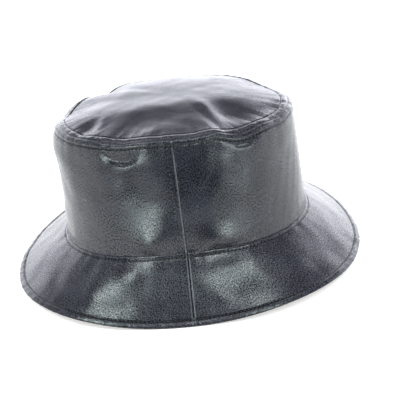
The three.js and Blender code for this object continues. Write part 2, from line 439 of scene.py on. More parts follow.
# %% Relief of the top, the side and the brim
FOOT_PUFF = dict(height=0.3, width=1.5)
EDGE_ROLL = dict(drop=0.9, width=2.4, ripple=0.2, ripple_every=5.2, ripple_width=2.2)


def eased(value, start, end):
    """Rises smoothly from 0 at the start to 1 at the end."""
    share = np.clip((value - start) / (end - start), 0, 1)
    return share * share * (3 - 2 * share)


def foot_puff(distance):
    """The full seam where the crown meets the brim, on both pieces."""
    return FOOT_PUFF["height"] * hump(distance / FOOT_PUFF["width"])


def from_rim_seam(angle, row):
    """How far out of the rim's seam a place lies, in millimetres along the cloth."""
    x, y, _, _ = oval(angle, RIM)
    inside = (np.minimum(row, 1) - TIP_END) * np.hypot(x, y)
    return inside + (np.maximum(row, 1) - 1) * SIDE_LENGTH


def rim_relief(angle, row):
    """The seam of the top and its two needle lines, on both pieces."""
    far = np.abs(from_rim_seam(angle, row))
    turned = turn_between(SEAM_ANGLE, angle) / 360
    relief = seam_relief(far, RIM_STITCH, puff=0.45, dip=0.5, groove=0.1)
    return relief + puckers(turned, RIM_ROUND, far, RIM_STITCH, depth=0.17, seed=11)


def tip_relief(angle, row):
    free_from = 14
    free = np.clip(-from_rim_seam(angle, row) / free_from, 0, 1)
    return rim_relief(angle, row) + slack(tip_point(angle, row), length=42, seed=12) * free


def side_relief(angle, row):
    free_from = dict(rim=14, foot=8)
    share = np.maximum(row, 1) - 1
    down = share * SIDE_LENGTH
    up = (1 - share) * SIDE_LENGTH
    turned = turn_between(SEAM_ANGLE, angle) / 360
    foot = foot_puff(up) + 0.2 * fading_ripple(turned, up, every=13, fade=9, start=2, seed=23)
    across = from_upright_seams(angle, BASE_ROUND)
    seam = upright_seam_relief(across, (0.28, 0.08), SIDE_SEAM_STITCH) * np.clip(down, 0, 1)
    place = side_point(angle, share)
    below_needle = eased(from_rim_seam(angle, row), 0.6 * RIM_STITCH, 1.6 * RIM_STITCH)
    dents = dent_relief(angle, place[..., 2]) * below_needle
    free = np.clip(down / free_from["rim"], 0, 1) * np.clip(up / free_from["foot"], 0, 1)
    return rim_relief(angle, row) + foot + seam + dents + slack(place, length=40, seed=24) * free


def brim_relief(angle, row):
    free_from = dict(foot=10, edge=12, seam=9)
    share = row - 2
    out = share * BRIM["width"]
    edge = (1 - share) * BRIM["width"]
    turned = turn_between(SEAM_ANGLE, angle) / 360
    foot = seam_relief(out, BASE_STITCH, puff=0.35, dip=0.4) + foot_puff(out)
    foot = foot + puckers(turned, BASE_ROUND, out, BASE_STITCH, depth=0.16, seed=31)
    roll = seam_relief(edge, EDGE_STITCH, puff=0.8, dip=0.4)
    roll = roll - EDGE_ROLL["drop"] * np.clip(1 - edge / EDGE_ROLL["width"], 0, 1) ** 2
    uneven = EDGE_ROLL["ripple"] * ripple(turned, BASE_ROUND / EDGE_ROLL["ripple_every"], 33)
    roll = roll + uneven * hump((edge - EDGE_STITCH / 2) / EDGE_ROLL["ripple_width"])
    roll = roll + 0.1 * fading_ripple(turned, edge, every=11, fade=11, start=3, seed=34)
    across = from_upright_seams(angle, BRIM_ROUND)
    seam = upright_seam_relief(across, (0.2, 0.18), BRIM_SEAM_STITCH)
    seam = seam * np.clip(edge / free_from["seam"], 0, 1)
    free = np.clip(out / free_from["foot"], 0, 1) * np.clip(edge / free_from["edge"], 0, 1)
    return foot + roll + seam + slack(brim_point(angle, share), length=38, seed=35) * free


print("edge rolls over its last", EDGE_ROLL["width"], "mm")


# %% [markdown]
# ## Painted shade at the needle lines and grooves, and pale lips
# A needle line and a seam's groove are darkened by painted shade: the threads turn darker and the film
# thinner there. The sharp lip beside a seam is made pale, partly as rubbed wear and partly as a
# painted highlight. An image could hold these marks, but a formula stays sharp at any size. Each point
# of the mesh gets two marks between 0 and 1, which the cloth's material reads to darken the threads
# and thin the film there, or to lighten the threads.

# %% Painted shade of needle lines and grooves, and pale lips
NEEDLE_SHADE_WIDTH = 0.6
CREASE_WIDTH = 0.3
SOFT_CREASE_WIDTH = 0.4
# The edge is longer than the crown seam, so its dashes come at a faster count.
EDGE_COUNT = 1.3


def dashes(distance, along):
    """A dashed mark of painted shade along a line of stitches."""
    mean = 0.68
    return hump(distance / NEEDLE_SHADE_WIDTH) * (mean + (1 - mean) * np.sin(2 * np.pi * along / STITCH_PITCH))


# Painted shade: dashes along both needle lines of the rim and a faint dark band in its crease.
def rim_painted_shade(angle, row):
    far = from_rim_seam(angle, row)
    along = turn_between(SEAM_ANGLE, angle) / 360 * RIM_ROUND
    return np.maximum(dashes(np.abs(far) - RIM_STITCH, along), 0.2 * hump(far / SOFT_CREASE_WIDTH))


# Painted shade in the upright seam's groove and along its topstitch, on top of the rim's.
def side_painted_shade(angle, row):
    across = from_upright_seams(angle, BASE_ROUND)
    groove = 0.3 * hump(across / CREASE_WIDTH)
    stitches = 0.2 * hump((across + SIDE_SEAM_STITCH) / SOFT_CREASE_WIDTH)
    return np.maximum(rim_painted_shade(angle, row), groove + stitches)


# Painted shade: dashes along the foot and edge needle lines and a band in the upright seam's groove.
def brim_painted_shade(angle, row):
    out = (row - 2) * BRIM["width"]
    edge = (3 - row) * BRIM["width"]
    along = turn_between(SEAM_ANGLE, angle) / 360 * BASE_ROUND
    foot_line = dashes(out - BASE_STITCH, along)
    edge_dashes = dashes(edge - EDGE_STITCH, along * EDGE_COUNT)
    across = from_upright_seams(angle, BRIM_ROUND)
    groove = 0.4 * hump(across / CREASE_WIDTH)
    return np.maximum(np.maximum(foot_line, edge_dashes), groove)


def no_marks(angle, row):
    return 0 * angle


def patchy(along, mean, short, long):
    """Uneven strength along a seam, strong here and weak there."""
    return mean + (1 - mean) * np.sin(along * short + 2 * np.sin(along * long))


def side_rubs_and_highlight(angle, row):
    """The back lip of the crown's side seam turns pale in short stretches: wear and a painted highlight."""
    clear_of_rim = 8
    lip_width = 0.5
    across = from_upright_seams(angle, BASE_ROUND)
    wear_and_highlight = patchy((row - 1) * SIDE_LENGTH, mean=0.72, short=1.9, long=0.37)
    below_rim = np.clip(from_rim_seam(angle, row) / clear_of_rim - 1, 0, 1)
    return hump((across + LIPS["back"]) / lip_width) * wear_and_highlight * below_rim


def brim_rubs_and_highlight(angle, row):
    """Both lips of the brim's side seam turn pale, the back one more: wear and a painted highlight."""
    lip_width = 0.35
    across = from_upright_seams(angle, BRIM_ROUND)
    wear_and_highlight = patchy((row - 2) * BRIM["width"], mean=0.7, short=1.7, long=0.41)
    back_lip = hump((across + 1.1) / lip_width)
    front_lip = 0.8 * hump((across - 1.2) / lip_width)
    return np.maximum(back_lip, front_lip) * wear_and_highlight


print("a dash every", STITCH_PITCH, "mm")


# %% [markdown]
# ## One wall of cloth
# A single sheet with a Solidify modifier would be quick, but its edge would stand square to the
# cloth, and the brim rests on a flat foot. So the wall is built as two grids, outer and inner,
# joined round their borders, and the same code makes every piece. Its UV map is the flat pattern in
# metres, which lets the weave follow the cut of each panel.

# %% Building a closed wall
FOOT_START = 2.84
# The outer face takes the whole relief, the inner face this share of it.
INNER_FOLLOWS = 0.35
SHARP_ANGLE = 62
MERGE_DISTANCE = 1e-7


def level_inwards(angle, row, depth):
    """How the wall gets its depth: along the cloth's own normal, and level at the brim's edge."""
    inwards = -cloth_out(angle, row) * depth[..., None]
    _, _, out_x, out_y = oval(angle, BASE)
    level = depth / np.sin(brim_slope(angle))
    flat = np.stack([-out_x * level, -out_y * level, 0 * level], -1)
    at_edge = eased(row, FOOT_START, 3)[..., None]
    return inwards * (1 - at_edge) + flat * at_edge


def wall_faces(columns, rows, open_ends):
    """Quads of an outer and an inner grid and of the borders between them."""
    index = np.arange(2 * columns * rows).reshape(2, columns, rows)
    outer, inner = index
    quads = [
        np.stack([outer[:-1, :-1], outer[:-1, 1:], outer[1:, 1:], outer[1:, :-1]], -1).reshape(-1, 4),
        np.stack([inner[:-1, :-1], inner[1:, :-1], inner[1:, 1:], inner[:-1, 1:]], -1).reshape(-1, 4),
        np.stack([outer[:-1, 0], outer[1:, 0], inner[1:, 0], inner[:-1, 0]], -1),
        np.stack([outer[:-1, -1], inner[:-1, -1], inner[1:, -1], outer[1:, -1]], -1),
    ]
    if open_ends:
        quads.append(np.stack([outer[0, :-1], inner[0, :-1], inner[0, 1:], outer[0, 1:]], -1))
        quads.append(np.stack([outer[-1, :-1], outer[-1, 1:], inner[-1, 1:], inner[-1, :-1]], -1))
    return np.concatenate(quads)


def merge_doubles(mesh):
    """Closes the middle of the top and the ends of a full turn."""
    merged = bmesh.new()
    merged.from_mesh(mesh)
    bmesh.ops.remove_doubles(merged, verts=merged.verts, dist=MERGE_DISTANCE)
    merged.to_mesh(mesh)
    merged.free()


def add_object(name, data):
    """A new object of the scene, at the origin."""
    made = bpy.data.objects.new(name, data)
    bpy.context.scene.collection.objects.link(made)
    return made


def cloth_wall(name, angles, rows, relief, marks, depths, pattern, open_ends):
    """A closed wall between two depths, lifted by its relief, as a mesh object in the frame.

    The marks are two functions: painted shade at stitch lines and grooves, and pale lips (wear and painted
    highlight).
    """
    angle, row = np.meshgrid(angles, rows, indexing="ij")
    lift = relief(angle, row)
    face = cloth_point(angle, row)
    faces = []
    for depth, follow in zip(depths, (1.0, INNER_FOLLOWS)):
        faces.append(face + level_inwards(angle, row, depth + 0 * row - follow * lift))
    points = np.concatenate([f.reshape(-1, 3) for f in faces])
    points[:, 2] = np.maximum(points[:, 2], 0)
    points[:, 0] += hat_shift
    quads = wall_faces(len(angles), len(rows), open_ends)
    mesh = bpy.data.meshes.new(name)
    mesh.from_pydata((points * MM).tolist(), [], quads.tolist())
    flat = pattern(angle, row).reshape(-1, 2) * MM
    corner = np.empty(len(mesh.loops), dtype=np.int32)
    mesh.loops.foreach_get("vertex_index", corner)
    uv = mesh.uv_layers.new(name="cut")
    uv.data.foreach_set("uv", flat[corner % len(flat)].ravel())
    # Two marks per point: painted shade at stitch lines and grooves, and pale lips of wear and painted
    # highlight.
    for label, mark in zip(("needle_and_crease_shade", "rubbed_and_highlit"), marks):
        values = mesh.attributes.new(label, "FLOAT", "POINT")
        values.data.foreach_set("value", np.tile(np.clip(mark(angle, row), 0, 1).ravel(), 2))
    merge_doubles(mesh)
    mesh.polygons.foreach_set("use_smooth", [True] * len(mesh.polygons))
    mesh.set_sharp_from_angle(angle=math.radians(SHARP_ANGLE))
    piece = add_object(name, mesh)
    print(name, len(mesh.vertices), "points", len(mesh.polygons), "faces")
    return piece


# %% [markdown]
# ## The flat pattern of each piece
# The top is cut as a plain oval and the crown's side as a long strip. A brim that slopes is cut as
# part of a ring, so its threads run straight across while the brim turns: that is why the weave of
# a real brim meets the seam at a slant. An unwrap tool would cut the pieces in places of its own,
# so the UV maps are worked out from those three cuts.

# %% Flat patterns
MEAN_SLOPE = math.radians(44)


def tip_pattern(angle, row):
    x, y, _, _ = oval(angle, RIM)
    return np.stack([x * row, y * row], -1)


def side_pattern(angle, row):
    turned = (angle - SEAM_ANGLE) / 360
    return np.stack([turned * BASE_ROUND, -(row - 1) * SIDE_LENGTH], -1)


def brim_pattern(angle, row):
    """Part of a ring, with the middle of the panel at its foot."""
    inner_radius = BASE_ROUND / (2 * math.pi * math.cos(MEAN_SLOPE))
    bend = np.radians(angle - angle.mean()) * math.cos(MEAN_SLOPE)
    radius = inner_radius + (row - 2) * BRIM["width"]
    return np.stack([radius * np.sin(bend), -radius * np.cos(bend)], -1)


print("the brim is cut for a mean slope of", round(math.degrees(MEAN_SLOPE)), "degrees")


# %% [markdown]
# ## Colours and nodes
# Hex colours are what a colour picker reads, so one function turns them to the linear values that
# the shader needs. Another adds a node with its settings and links in one line. A node tree could
# also be drawn by hand and kept in a file, but built in code it can be read and repeated.

# %% Helpers for materials
MULTIPLY = {"operation": "MULTIPLY"}
MULTIPLY_ADD = {"operation": "MULTIPLY_ADD"}
COLOURS = {"data_type": "RGBA"}
NUMBERS = {"data_type": "FLOAT"}


def linear(hex_colour):
    """An sRGB hex colour as linear red, green, blue and full alpha."""
    values = [int(hex_colour[i : i + 2], 16) / 255 for i in (1, 3, 5)]
    return [v / 12.92 if v <= 0.04045 else ((v + 0.055) / 1.055) ** 2.4 for v in values] + [1.0]


def add_node(tree, kind, settings=None, inputs=None):
    """Adds a node. Inputs are given by name or number, as a value or as the socket to link."""
    node = tree.nodes.new(kind)
    for key, value in (settings or {}).items():
        setattr(node, key, value)
    for key, value in (inputs or {}).items():
        if isinstance(value, bpy.types.NodeSocket):
            tree.links.new(value, node.inputs[key])
        else:
            node.inputs[key].default_value = value
    return node


def new_material(name):
    material = bpy.data.materials.new(name)
    material.use_nodes = True
    tree = material.node_tree
    tree.nodes.clear()
    return material, tree


print("mid grey is", round(linear("#808080")[0], 3), "in linear light")


# %% [markdown]
# ## Linen threads
# Linen is a plain weave of uneven, slubby threads. A wave texture would draw them all alike, so two
# stretched noises stand for warp and weft. A thread is drawn 0.54 mm wide, about as the real one,
# and changes every 1.35 mm along, which gives the eye an irregular grain and no stripes.

# %% The weave
THREAD = 0.54
SLUB = 1.35
WEFT_SHARE = 0.7
WARP_SHARE = 1.3


def weave_height(tree):
    """Threads both ways on the flat cut, as one height from 0 to 1."""
    flat = add_node(tree, "ShaderNodeUVMap", {"uv_map": "cut"}).outputs["UV"]
    threads = []
    for along, across in ((SLUB, THREAD), (THREAD, SLUB)):
        scale = (1 / (along * MM), 1 / (across * MM), 1)
        placed = add_node(tree, "ShaderNodeMapping", inputs={"Vector": flat, "Scale": scale})
        noise = add_node(
            tree,
            "ShaderNodeTexNoise",
            {"noise_dimensions": "2D"},
            {"Vector": placed.outputs[0], "Scale": 1.0, "Detail": 1.0, "Roughness": 0.5},
        )
        threads.append(noise.outputs["Fac"])
    weft = add_node(tree, "ShaderNodeMath", MULTIPLY, {0: threads[0], 1: WEFT_SHARE}).outputs[0]
    both = add_node(tree, "ShaderNodeMath", MULTIPLY_ADD, {0: threads[1], 1: WARP_SHARE, 2: weft})
    range_of_both = {"Value": both.outputs[0], "From Min": 0.8, "From Max": 1.3}
    return add_node(tree, "ShaderNodeMapRange", inputs=range_of_both).outputs[0]


print("threads of", THREAD, "mm with slubs of", SLUB, "mm")


# %% [markdown]
# ## Coated linen
# A thin clear film makes the linen waterproof and satin. It gives a soft sheen that rises at low
# angles, while the weave breaks each highlight into grain. One glossy shader would look like
# plastic, so threads and film are two layers: a base whose gleam follows the weave, and a thin
# coat. Broad clouds, about 24 mm across, keep colour and gloss from being even.

# %% The cloth's material
CLOUD_SCALE = 42.0
CLOUD_SHADE = 0.8
# Painted shade at stitch lines and grooves darkens the threads and thins the film.
PAINTED_SHADE_DARKENS = 1.2
PAINTED_SHADE_THINS_FILM = 0.95
# The pale lips are partly rubbed wear and partly a painted highlight.
RUBBED_AND_HIGHLIT_THREADS = "#6f777c"
RUBBED_AND_HIGHLIT_SHARE = 0.4
ROUGHNESS_SWING = 0.06
FILM_IOR = 1.5


def linen_colour(tree, weave, cloud, needle_and_crease_shade, dark, light):
    """Dark between the threads and light on them, darker in painted shade, and paler on worn and highlit
    lips.
    """
    rubbed_and_highlit = add_node(tree, "ShaderNodeAttribute", {"attribute_name": "rubbed_and_highlit"}).outputs["Fac"]
    shade = add_node(tree, "ShaderNodeMath", MULTIPLY_ADD, {0: cloud, 1: CLOUD_SHADE, 2: -CLOUD_SHADE / 2})
    lit = add_node(tree, "ShaderNodeMath", {"operation": "ADD"}, {0: weave, 1: shade.outputs[0]}).outputs[0]
    # Painted shade: darker threads at the stitch lines and grooves.
    amount = add_node(tree, "ShaderNodeMath", MULTIPLY_ADD, {0: needle_and_crease_shade, 1: -PAINTED_SHADE_DARKENS, 2: lit})
    ends = {0: amount.outputs[0], 6: linear(dark), 7: linear(light)}
    threads = add_node(tree, "ShaderNodeMix", COLOURS, ends).outputs[2]
    # Pale lips: partly rubbed wear, partly a painted highlight.
    pale = add_node(tree, "ShaderNodeMath", MULTIPLY, {0: rubbed_and_highlit, 1: RUBBED_AND_HIGHLIT_SHARE}).outputs[0]
    ends = {0: pale, 6: threads, 7: linear(RUBBED_AND_HIGHLIT_THREADS)}
    return add_node(tree, "ShaderNodeMix", COLOURS, ends).outputs[2]


def linen_bump(tree, weave, cloud):
    """Threads of a few hundredths of a millimetre on slightly crumpled cloth."""
    height = {"Height": cloud, "Strength": 0.5, "Distance": 0.8 * MM}
    crumple = add_node(tree, "ShaderNodeBump", inputs=height).outputs[0]
    height = {"Height": weave, "Strength": 0.55, "Distance": 0.06 * MM, "Normal": crumple}
    return add_node(tree, "ShaderNodeBump", inputs=height).outputs[0]


def coated_linen(name, dark, light, film, film_roughness, roughness):
    """Linen of two colours under a film; painted shade darkens it and thins the film at stitch lines and
    grooves.
    """
    material, tree = new_material(name)
    weave = weave_height(tree)
    place = add_node(tree, "ShaderNodeTexCoord").outputs["Object"]
    clouds = {"Vector": place, "Scale": CLOUD_SCALE, "Detail": 2.0, "Roughness": 0.5}
    cloud = add_node(tree, "ShaderNodeTexNoise", inputs=clouds).outputs["Fac"]
    # Painted shade: the film is thinner at the stitch lines and grooves.
    needle_and_crease_shade = add_node(tree, "ShaderNodeAttribute", {"attribute_name": "needle_and_crease_shade"}).outputs["Fac"]
    film_left_by_shade = add_node(tree, "ShaderNodeMath", MULTIPLY_ADD, {0: needle_and_crease_shade, 1: -PAINTED_SHADE_THINS_FILM, 2: 1.0}).outputs[0]
    rough = {
        "Value": cloud,
        "From Min": 0.3,
        "From Max": 0.7,
        "To Min": roughness - ROUGHNESS_SWING,
        "To Max": roughness + ROUGHNESS_SWING,
    }
    gleam = {"Value": weave, "To Min": 0.12, "To Max": 0.88}
    gleam = add_node(tree, "ShaderNodeMapRange", inputs=gleam).outputs[0]
    bump = linen_bump(tree, weave, cloud)
    shader = add_node(
        tree,
        "ShaderNodeBsdfPrincipled",
        inputs={
            "Base Color": linen_colour(tree, weave, cloud, needle_and_crease_shade, dark, light),
            "Roughness": add_node(tree, "ShaderNodeMapRange", inputs=rough).outputs[0],
            "Normal": bump,
            "IOR": FILM_IOR,
            "Specular IOR Level": add_node(tree, "ShaderNodeMath", MULTIPLY, {0: gleam, 1: film_left_by_shade}).outputs[0],
            "Coat Weight": add_node(tree, "ShaderNodeMath", MULTIPLY, {0: film_left_by_shade, 1: film}).outputs[0],
            "Coat Roughness": film_roughness,
            "Coat IOR": FILM_IOR,
            "Coat Normal": bump,
        },
    )
    add_node(tree, "ShaderNodeOutputMaterial", inputs={"Surface": shader.outputs[0]})
    print(name, len(tree.nodes), "nodes")
    return material


slate_linen = coated_linen(
    "coated_linen_slate", "#08090c", "#34363f", film=0.12, film_roughness=0.15, roughness=0.22
)
under_linen = coated_linen(
    "coated_linen_underside", "#34373b", "#5d5e5d", film=0.2, film_roughness=0.5, roughness=0.6
)


# %% [markdown]
# ## The top
# The top is one oval. It sags over the empty crown in soft hollows with a crisp ridge between two of
# them. Cloth simulation could find such folds, but not these folds, so they are rows of the table.
# The piece ends at the rim's seam, a little inside the place where the cloth turns down.

# %% The top of the crown
TIP_COLUMNS = 540

mean_reach = RIM_ROUND / (2 * math.pi)
tip_end = TIP_END * mean_reach
tip_places = [tip_end, tip_end - RIM_STITCH]
tip_rows = graded(0, tip_end, tip_places, fine=0.32, coarse=2.2, reach=2.2) / mean_reach
tip_cloth = cloth_wall(
    "tip_cloth",
    np.linspace(SEAM_ANGLE, SEAM_ANGLE + 360, TIP_COLUMNS + 1),
    tip_rows,
    tip_relief,
    (rim_painted_shade, no_marks),
    (0, CROWN_WALL),
    tip_pattern,
    open_ends=False,
)
tip_cloth.data.materials.append(slate_linen)


# %% [markdown]
# ## The crown's side and the brim
# Each is two half rounds that meet at the side seams. One full ring with a drawn line would be
# simpler, but a real seam is two edges that turn in. The panels are cut from one grid of angles
# whose steps shrink at both ends, so a groove closes exactly where two panels touch.

# %% Panels of the side and the brim
# Rows this far under the rim follow the crisp lips of the dents.
DENT_ROWS = [7, 11, 15]
EDGE_TURN = 0.5

half_round = BASE_ROUND / 2
panel_steps = graded(0, half_round, [0, half_round], fine=0.3, coarse=1.25, reach=7.5) / half_round * 180
half_turns = {"front": SEAM_ANGLE + panel_steps, "back": SEAM_ANGLE + 180 + panel_steps}
rim_turn = (1 - TIP_END) * mean_reach
side_places = [-rim_turn, RIM_STITCH - rim_turn, *DENT_ROWS, SIDE_LENGTH]
down_side = graded(-rim_turn, SIDE_LENGTH, side_places, fine=0.4, coarse=1.7, reach=2.4)
side_rows = 1 + np.where(down_side < 0, down_side / mean_reach, down_side / SIDE_LENGTH)
edge_line = BRIM["width"] - EDGE_STITCH
brim_end = BRIM["width"] - EDGE_TURN
brim_places = [0, BASE_STITCH, edge_line, brim_end]
brim_rows = 2 + graded(0, brim_end, brim_places, fine=0.34, coarse=1.9, reach=2.2) / BRIM["width"]

Part = namedtuple("Part", "name rows relief marks depths pattern")
PARTS = [
    Part("side", side_rows, side_relief, (side_painted_shade, side_rubs_and_highlight), (0, CROWN_WALL), side_pattern),
    Part("brim", brim_rows, brim_relief, (brim_painted_shade, brim_rubs_and_highlight), (0, BRIM_WALL), brim_pattern),
]
panels = {}
for half, turn in half_turns.items():
    for part in PARTS:
        name = f"{part.name}_{half}_cloth"
        panel = cloth_wall(name, turn, *part[1:], open_ends=True)
        panel.data.materials.append(slate_linen)
        panels[part.name, half] = panel


# %% [markdown]
# ## The layer under the brim
# It is hidden but for its edge, which shows as a thin paler line below the rolled edge of the brim.
# A copy of the brim, moved down, would cut through it at the foot. So it follows the same face one
# layer further in, starts just outside the head, and reaches to the full width.

# %% The brim's facing
FACING_COLUMNS = 480
FACING_START = 2.2

facing_rows = 2 + graded(FACING_START, BRIM["width"], [edge_line], 0.5, 3.0, 3.0) / BRIM["width"]
facing_depth = BRIM_WALL + LAYER_GAP


def facing_relief(angle, row):
    """Under the brim the layers are calm, with a valley at the needle line only."""
    valley = dict(depth=0.35, width=0.8)
    edge = (3 - row) * BRIM["width"]
    return valley["depth"] * hump((edge - EDGE_STITCH) / valley["width"])


facing = cloth_wall(
    "facing_cloth",
    np.linspace(SEAM_ANGLE, SEAM_ANGLE + 360, FACING_COLUMNS + 1),
    facing_rows,
    facing_relief,
    (no_marks, no_marks),
    (facing_depth, facing_depth + FACING_WALL),
    brim_pattern,
    open_ends=False,
)
facing.data.materials.append(under_linen)


# %% [markdown]
# ## Topstitches
# A sewing machine leaves one stitch every three millimetres, each a short thread that dives into the
# cloth at both ends. Placing nine hundred by hand is no work for anyone. A tree of Geometry Nodes
# resamples each needle line at the pitch and sets one small spindle on every point.

# %% The tree that sews
STITCH_LENGTH = 2.5
THREAD_RADIUS = 0.34


def sewing_tree():
    tree = bpy.data.node_groups.new("sew_line", "GeometryNodeTree")
    sockets = {}
    tree.interface.new_socket("Geometry", in_out="OUTPUT", socket_type="NodeSocketGeometry")
    tree.interface.new_socket("Geometry", in_out="INPUT", socket_type="NodeSocketGeometry")
    for label, kind in (
        ("Pitch", "NodeSocketFloat"),
        ("Stitch length", "NodeSocketFloat"),
        ("Thread radius", "NodeSocketFloat"),
        ("Thread", "NodeSocketMaterial"),
    ):
        sockets[label] = tree.interface.new_socket(label, in_out="INPUT", socket_type=kind).identifier
    given = add_node(tree, "NodeGroupInput").outputs
    curve = add_node(tree, "GeometryNodeMeshToCurve", inputs={0: given["Geometry"]}).outputs[0]
    spacing = {"Curve": curve, "Length": given["Pitch"]}
    spaced = add_node(tree, "GeometryNodeResampleCurve", {"mode": "LENGTH"}, spacing)
    ball = {"Segments": 7, "Rings": 5, "Radius": 1.0}
    spindle = add_node(tree, "GeometryNodeMeshUVSphere", inputs=ball)
    tangent = add_node(tree, "GeometryNodeInputTangent").outputs[0]
    aim = add_node(tree, "FunctionNodeAlignEulerToVector", {"axis": "X"}, {"Vector": tangent})
    half = add_node(tree, "ShaderNodeMath", MULTIPLY, {0: given["Stitch length"], 1: 0.5}).outputs[0]
    sizes = {0: half, 1: given["Thread radius"], 2: given["Thread radius"]}
    size = add_node(tree, "ShaderNodeCombineXYZ", inputs=sizes)
    sewn = add_node(
        tree,
        "GeometryNodeInstanceOnPoints",
        inputs={
            "Points": spaced.outputs[0],
            "Instance": spindle.outputs[0],
            "Rotation": aim.outputs[0],
            "Scale": size.outputs[0],
        },
    )
    real = add_node(tree, "GeometryNodeRealizeInstances", inputs={0: sewn.outputs[0]})
    smooth = add_node(tree, "GeometryNodeSetShadeSmooth", inputs={0: real.outputs[0]})
    dye = {"Geometry": smooth.outputs[0], "Material": given["Thread"]}
    dyed = add_node(tree, "GeometryNodeSetMaterial", inputs=dye)
    add_node(tree, "NodeGroupOutput", inputs={0: dyed.outputs[0]})
    return tree, sockets


def needle_line(angles, rows, relief, sink):
    """A line on the cloth, sunk a little into the valley of its seam, in metres."""
    lowest = 0.3
    angles, rows = np.broadcast_arrays(np.asarray(angles, float), np.asarray(rows, float))
    lift = relief(angles, rows) - sink
    points = cloth_point(angles, rows) + level_inwards(angles, rows, -lift)
    points[:, 0] += hat_shift
    points[:, 2] = np.maximum(points[:, 2], lowest)
    return points * MM


sewing, sewing_inputs = sewing_tree()
print("the sewing tree takes", list(sewing_inputs))


# %% [markdown]
# ## The thread
# The hat is sewn with polyester thread of nearly the cloth's own colour, a little darker and more
# matt. Painted shade also darkens the cloth along each line, which does from afar, but close up it
# lies flat. Small spindles with a fine twist show as a dotted line that lies in each valley.

# %% The thread's finish and the sewing
def thread_finish(name, colour):
    """Twisted thread: matt, with a bump of about 0.4 mm from twist to twist."""
    material, tree = new_material(name)
    place = add_node(tree, "ShaderNodeTexCoord").outputs["Object"]
    twists = {"Vector": place, "Scale": 2600.0, "Detail": 1.0}
    twist = add_node(tree, "ShaderNodeTexNoise", inputs=twists).outputs["Fac"]
    height = {"Height": twist, "Strength": 0.4, "Distance": 0.1 * MM}
    bump = add_node(tree, "ShaderNodeBump", inputs=height).outputs[0]
    look = {"Base Color": linear(colour), "Roughness": 0.6, "Normal": bump}
    shader = add_node(tree, "ShaderNodeBsdfPrincipled", inputs=look)
    add_node(tree, "ShaderNodeOutputMaterial", inputs={"Surface": shader.outputs[0]})
    return material


def sew(name, lines, thread):
    """Turns needle lines into one mesh of stitches."""
    mesh = bpy.data.meshes.new(name)
    edges = []
    first = 0
    for line in lines:
        edges += [(first + i, first + i + 1) for i in range(len(line) - 1)]
        first += len(line)
    mesh.from_pydata(np.concatenate(lines).tolist(), edges, [])
    piece = add_object(name, mesh)
    modifier = piece.modifiers.new("sew", "NODES")
    modifier.node_group = sewing
    modifier[sewing_inputs["Pitch"]] = STITCH_PITCH * MM
    modifier[sewing_inputs["Stitch length"]] = STITCH_LENGTH * MM
    modifier[sewing_inputs["Thread radius"]] = THREAD_RADIUS * MM
    modifier[sewing_inputs["Thread"]] = thread
    ready = piece.evaluated_get(bpy.context.evaluated_depsgraph_get())
    result = bpy.data.meshes.new_from_object(ready)
    piece.modifiers.clear()
    piece.data = result
    print(name, len(result.polygons), "faces")
    return piece


thread = thread_finish("polyester_thread_navy", "#12161c")

# %% [markdown]
# ## The needle lines
# The top is sewn to the side with a line on each side of the rim's seam. The brim has a line below
# the crown and one along its edge, and behind each upright seam runs one more. They could be drawn
# as curves by hand, but as angles and rows of the same face they lie in their valleys everywhere.

# %% Sewing the hat
LINE_POINTS = 1441
LINE_GAP = 0.4
SINK = 0.05
UPRIGHT_SINK = 0.15

fine_turn = np.linspace(SEAM_ANGLE + LINE_GAP, SEAM_ANGLE + 360 - LINE_GAP, LINE_POINTS)
rim_x, rim_y, _, _ = oval(fine_turn, RIM)
rim_reach = np.hypot(rim_x, rim_y)
inner_line = TIP_END - RIM_STITCH / rim_reach
outer_line = 1 + (RIM_STITCH - (1 - TIP_END) * rim_reach) / SIDE_LENGTH
foot_line = 2 + BASE_STITCH / BRIM["width"]
brim_edge_line = 3 - EDGE_STITCH / BRIM["width"]
down_the_side = np.linspace(1.06, 1.98, 60)
down_the_brim = np.linspace(2.07, brim_edge_line, 40)

tip_stitches = sew("tip_stitches", [needle_line(fine_turn, inner_line, tip_relief, SINK)], thread)
side_lines = [needle_line(fine_turn, outer_line, side_relief, SINK)]
brim_lines = [needle_line(fine_turn, row, brim_relief, SINK) for row in (foot_line, brim_edge_line)]
for seam_angle in (SEAM_ANGLE, SEAM_ANGLE + 180):
    side_angle = seam_angle - SIDE_SEAM_STITCH / BASE_ROUND * 360
    brim_angle = seam_angle - BRIM_SEAM_STITCH / BRIM_ROUND * 360
    side_lines.append(needle_line(side_angle, down_the_side, side_relief, UPRIGHT_SINK))
    brim_lines.append(needle_line(brim_angle, down_the_brim, brim_relief, UPRIGHT_SINK))
side_stitches = sew("side_stitches", side_lines, thread)
brim_stitches = sew("brim_stitches", brim_lines, thread)

# %% [markdown]
# ## What stands for what
# Each cloth piece replaces its plain solid and rides on the hat's one body. The table also gives
# the size of each panel's cut and its area. Flat sizes are in metres and areas in square metres.

# %% Riding and replacing
Cut = namedtuple("Cut", "piece node slot flat area")
CUTS = [
    Cut(tip_cloth, "crown_tip", "coated_linen", (0.186, 0.153), 0.0231),
    Cut(panels["side", "front"], "side_panel_front", "coated_linen", (0.290, 0.089), 0.0235),
    Cut(panels["side", "back"], "side_panel_back", "coated_linen", (0.290, 0.089), 0.0248),
    Cut(panels["brim", "front"], "brim_top_front", "coated_linen", (0.328, 0.127), 0.0200),
    Cut(panels["brim", "back"], "brim_top_back", "coated_linen", (0.328, 0.127), 0.0203),
    Cut(facing, "brim_facing", "facing_linen", (0.366, 0.294), 0.0370),
]
for cut in CUTS:
    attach(cut.piece, "root")
    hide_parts(cut.node)
for piece in (tip_stitches, side_stitches, brim_stitches):
    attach(piece, "root")
print("cloth in one layer", round(sum(cut.area for cut in CUTS), 3), "square metres")

